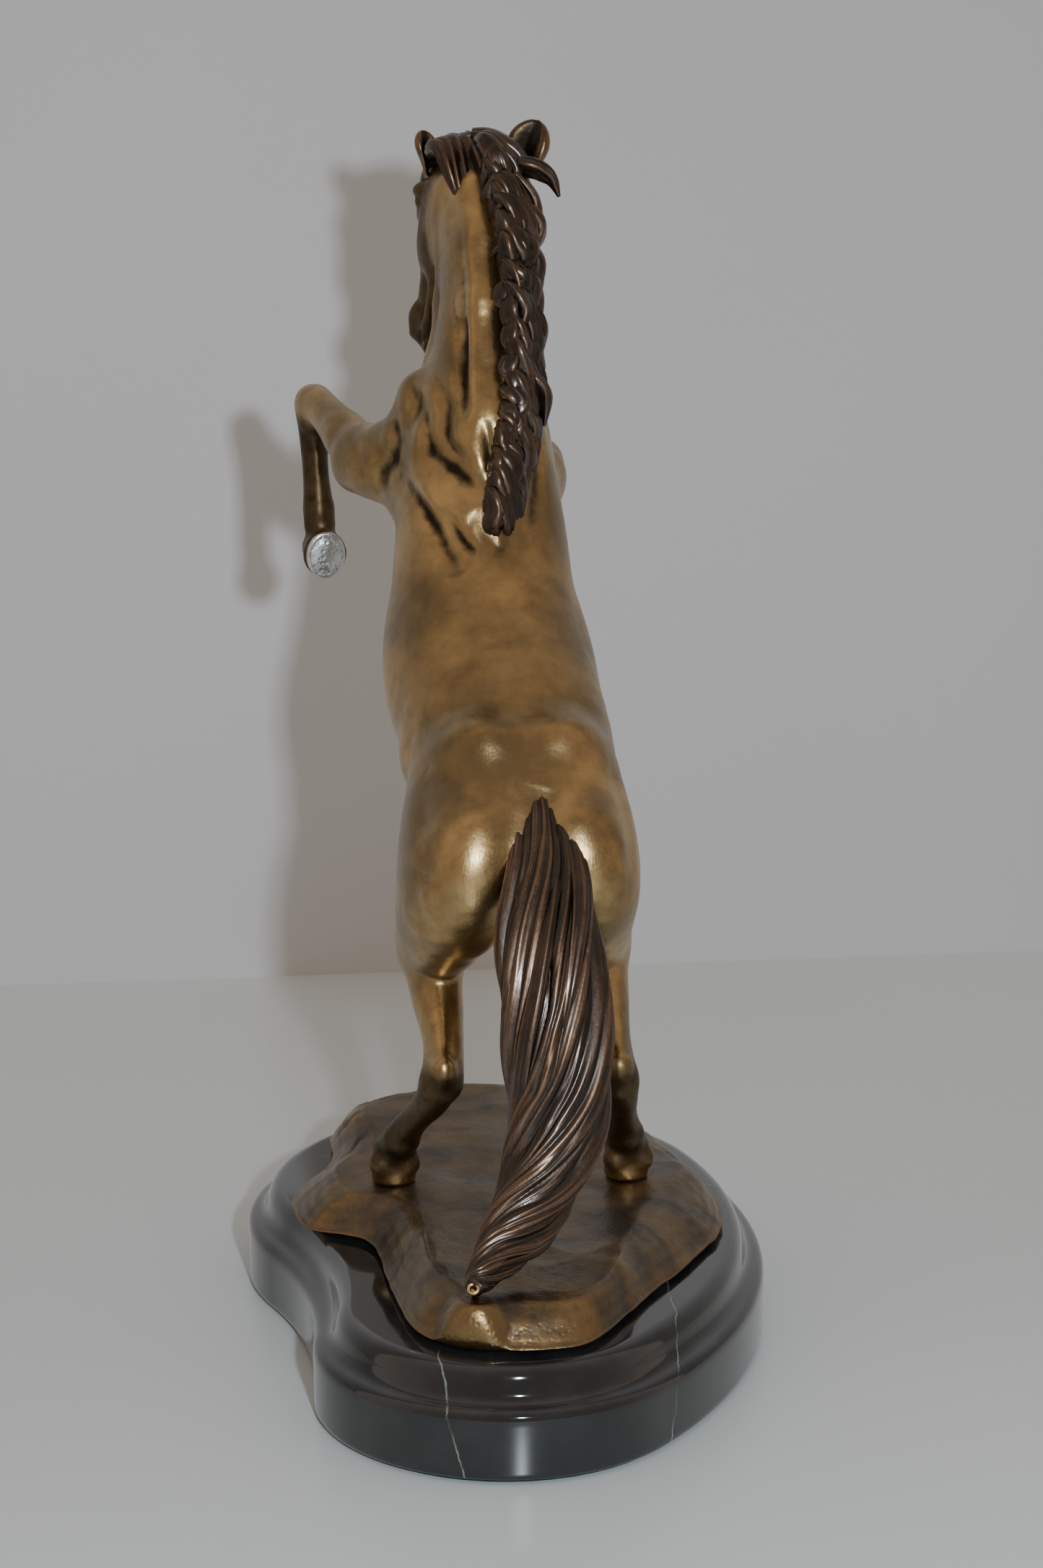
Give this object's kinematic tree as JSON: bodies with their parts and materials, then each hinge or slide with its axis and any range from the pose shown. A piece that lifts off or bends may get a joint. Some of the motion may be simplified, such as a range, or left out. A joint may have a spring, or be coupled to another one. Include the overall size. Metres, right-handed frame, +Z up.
{
  "type": "horse statuette",
  "caption": "Cast bronze statuette of a rearing horse with a long twisted tail, on an uneven bronze ground plate and a kidney-shaped black marble plinth.",
  "frame": {"origin": "on the table, under the middle of the plinth", "axes": "+Z up; the horse faces -Y; +X is the horse's left"},
  "size_m": [0.1905, 0.3394, 0.4256],
  "materials": {
    "golden_bronze": "satin golden-brown bronze, hand brushed, with darker brown patina in the creases",
    "dark_bronze": "dark brown glossy patina rubbed back to copper on the ridges",
    "brown_bronze": "dull brown patina rubbed to ochre on the edges",
    "black_marble": "polished black marble with thin pale green veins",
    "green_felt": "short felt",
    "sole_metal": "bare grey cast metal",
    "brass_pin": "bare brass",
    "rod_brass": "drawn rod",
    "steel": "zinc-plated steel"
  },
  "bodies": {
    "root": {"marble_base": "black_marble", "felt_pad": "green_felt", "ground_casting": "brown_bronze", "trunk_casting": "golden_bronze", "neck_casting": "golden_bronze", "head_casting": "golden_bronze", "mane_casting": "dark_bronze", "forelock": "dark_bronze", "left_foreleg_casting": "golden_bronze", "right_foreleg_casting": "golden_bronze", "left_hind_leg_casting": "golden_bronze", "right_hind_leg_casting": "golden_bronze", "tail_casting": "dark_bronze", "left_fore_sole": "sole_metal", "right_fore_sole": "sole_metal", "tail_pin": "brass_pin", "hoof_studs": "steel", "hoof_nuts": "steel", "base_bolts": "steel", "base_washers": "steel", "poll_dowel": "rod_brass", "leg_dowels": "rod_brass", "tail_dowel": "rod_brass"}
  },
  "joints": []
}
